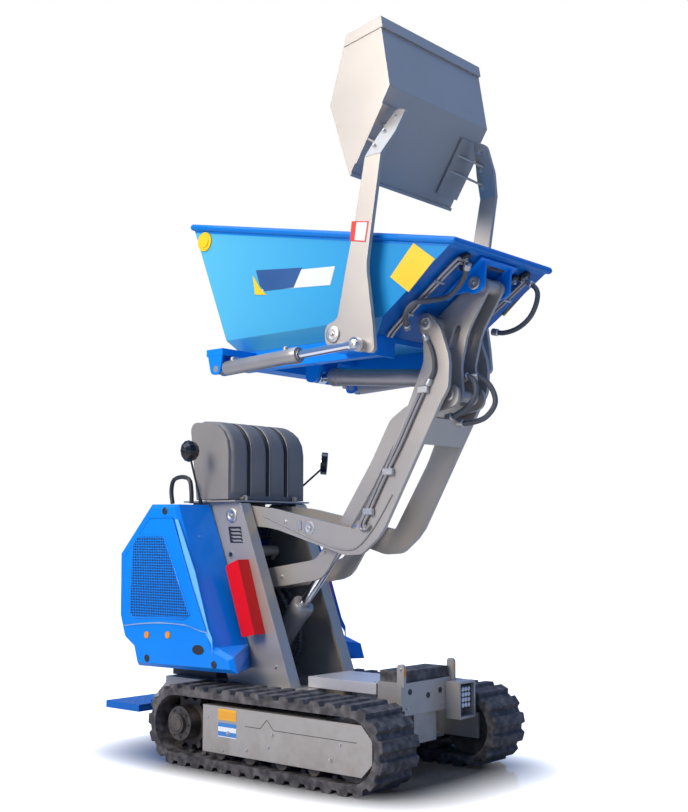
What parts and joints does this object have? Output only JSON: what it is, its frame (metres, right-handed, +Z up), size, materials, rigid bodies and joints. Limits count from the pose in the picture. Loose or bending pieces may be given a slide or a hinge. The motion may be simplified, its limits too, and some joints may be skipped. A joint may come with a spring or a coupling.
{
  "type": "tracked mini dumper with a high-tip skip and loading shovel",
  "caption": "Pedestrian tracked dumper: a skip on a four-bar lifting boom tips forward high up, with a shovel on side arms for loading it, a folding driver platform and a blue body.",
  "frame": {"origin": "on the ground in the middle of the plan outline, boom fully raised", "axes": "+X forward, +Y to the left, +Z up"},
  "size_m": [1.66, 0.78, 2.466],
  "materials": {
    "blue_paint": "gloss",
    "grey_paint": "satin",
    "hood_plastic": "matt",
    "red_paint": "gloss",
    "rubber": "matt",
    "cast_steel": "satin",
    "barrel_paint": "satin",
    "chrome": "polished",
    "black_paint": "satin",
    "mirror_plastic": "gloss"
  },
  "bodies": {
    "chassis": {"chassis_frame": "grey_paint", "front_crossmember": "grey_paint", "lamp_housing": "grey_paint", "headlamp": "black_paint", "deck_box": "grey_paint", "engine_block": "black_paint", "rear_panel": "blue_paint", "console": "grey_paint", "mirror_right": "mirror_plastic", "mirror_left": "mirror_plastic", "track_right": "rubber", "track_left": "rubber", "track_frame_right": "grey_paint", "track_frame_left": "grey_paint", "idler_right": "cast_steel", "idler_left": "cast_steel", "sprocket_right": "cast_steel", "sprocket_left": "cast_steel", "track_rollers_right": "cast_steel", "track_rollers_left": "cast_steel", "mast_right": "grey_paint", "mast_left": "grey_paint", "side_panel_right": "blue_paint", "side_panel_left": "blue_paint", "grab_handle_right": "black_paint", "grab_handle_left": "black_paint", "safety_prop_right": "red_paint", "safety_prop_left": "red_paint", "rest_pad": "rubber"},
    "boom": {"boom": "grey_paint"},
    "lower_arm": {"lower_arm": "grey_paint"},
    "coupler": {"coupler": "grey_paint"},
    "skip": {"skip_tub": "blue_paint", "skip_frame": "blue_paint", "skip_bracket": "blue_paint"},
    "lift_barrel": {"lift_barrel": "barrel_paint"},
    "lift_rod": {"lift_rod": "chrome"},
    "tip_barrel": {"tip_barrel": "barrel_paint"},
    "tip_rod": {"tip_rod": "chrome"},
    "loader": {"loader_arm_right": "grey_paint", "loader_arm_left": "grey_paint", "shovel": "grey_paint"},
    "loader_barrels": {"loader_barrel_right": "barrel_paint", "loader_barrel_left": "barrel_paint"},
    "loader_rods": {"loader_rod_right": "chrome", "loader_rod_left": "chrome"},
    "platform": {"platform": "blue_paint"},
    "hood": {"hood": "hood_plastic"}
  },
  "joints": [
    {"name": "boom_lift", "type": "hinge", "parent": "chassis", "child": "boom", "pos_m": [-0.244, 0, 0.853], "axis": [0, -1, 0], "range_deg": [-51, 0]},
    {"name": "lower_arm_pivot", "type": "hinge", "parent": "chassis", "child": "lower_arm", "pos_m": [-0.261, 0, 0.611], "axis": [0, -1, 0], "range_deg": [-48.27, 0.5]},
    {"name": "coupler_pivot", "type": "hinge", "parent": "boom", "child": "coupler", "pos_m": [0.594, 0, 1.469], "axis": [0, -1, 0], "range_deg": [-0.5, 49.92]},
    {"name": "lift_barrel_pivot", "type": "hinge", "parent": "chassis", "child": "lift_barrel", "pos_m": [-0.373, 0, 0.156], "axis": [0, -1, 0], "range_deg": [-24.26, 0.5]},
    {"name": "lift_rod_slide", "type": "slide", "parent": "lift_barrel", "child": "lift_rod", "axis": [0.6479, 0, 0.7617], "range_m": [-0.2432, 0.002]},
    {"name": "skip_tip", "type": "hinge", "parent": "coupler", "child": "skip", "pos_m": [0.757, 0, 1.584], "axis": [0, 1, 0], "range_deg": [0, 75]},
    {"name": "tip_barrel_pivot", "type": "hinge", "parent": "coupler", "child": "tip_barrel", "pos_m": [0.573, 0, 1.3], "axis": [0, 1, 0], "range_deg": [-0.5, 71.26]},
    {"name": "tip_rod_slide", "type": "slide", "parent": "tip_barrel", "child": "tip_rod", "axis": [-0.9957, 0, 0.0928], "range_m": [-0.002, 0.4105]},
    {"name": "loader_swing", "type": "hinge", "parent": "skip", "child": "loader", "pos_m": [0.382, 0, 1.4255], "axis": [0, -1, 0], "range_deg": [-110, 0]},
    {"name": "loader_barrels_pivot", "type": "hinge", "parent": "skip", "child": "loader_barrels", "pos_m": [-0.112, 0, 1.3525], "axis": [0, -1, 0], "range_deg": [-6.16, 1]},
    {"name": "loader_rods_slide", "type": "slide", "parent": "loader_barrels", "child": "loader_rods", "axis": [0.9991, 0, 0.0418], "range_m": [-0.2024, 0.002]},
    {"name": "platform_fold", "type": "hinge", "parent": "chassis", "child": "platform", "pos_m": [-0.61, 0, 0.165], "axis": [0, 1, 0], "range_deg": [0, 85]},
    {"name": "hood_open", "type": "hinge", "parent": "chassis", "child": "hood", "pos_m": [-0.222, 0, 0.914], "axis": [0, 1, 0], "range_deg": [0, 60]}
  ],
  "couplings": [
    {"joint": "lower_arm_pivot", "follows": "boom_lift", "ratio": 0.93674},
    {"joint": "coupler_pivot", "follows": "boom_lift", "ratio": -0.96903},
    {"joint": "lift_barrel_pivot", "follows": "boom_lift", "ratio": 0.46583},
    {"joint": "lift_rod_slide", "follows": "boom_lift", "m_per_rad": 0.27095},
    {"joint": "tip_barrel_pivot", "follows": "skip_tip", "ratio": 0.94352},
    {"joint": "tip_rod_slide", "follows": "skip_tip", "m_per_rad": 0.31207},
    {"joint": "loader_barrels_pivot", "follows": "loader_swing", "ratio": 0.046862},
    {"joint": "loader_rods_slide", "follows": "loader_swing", "m_per_rad": 0.10436}
  ]
}
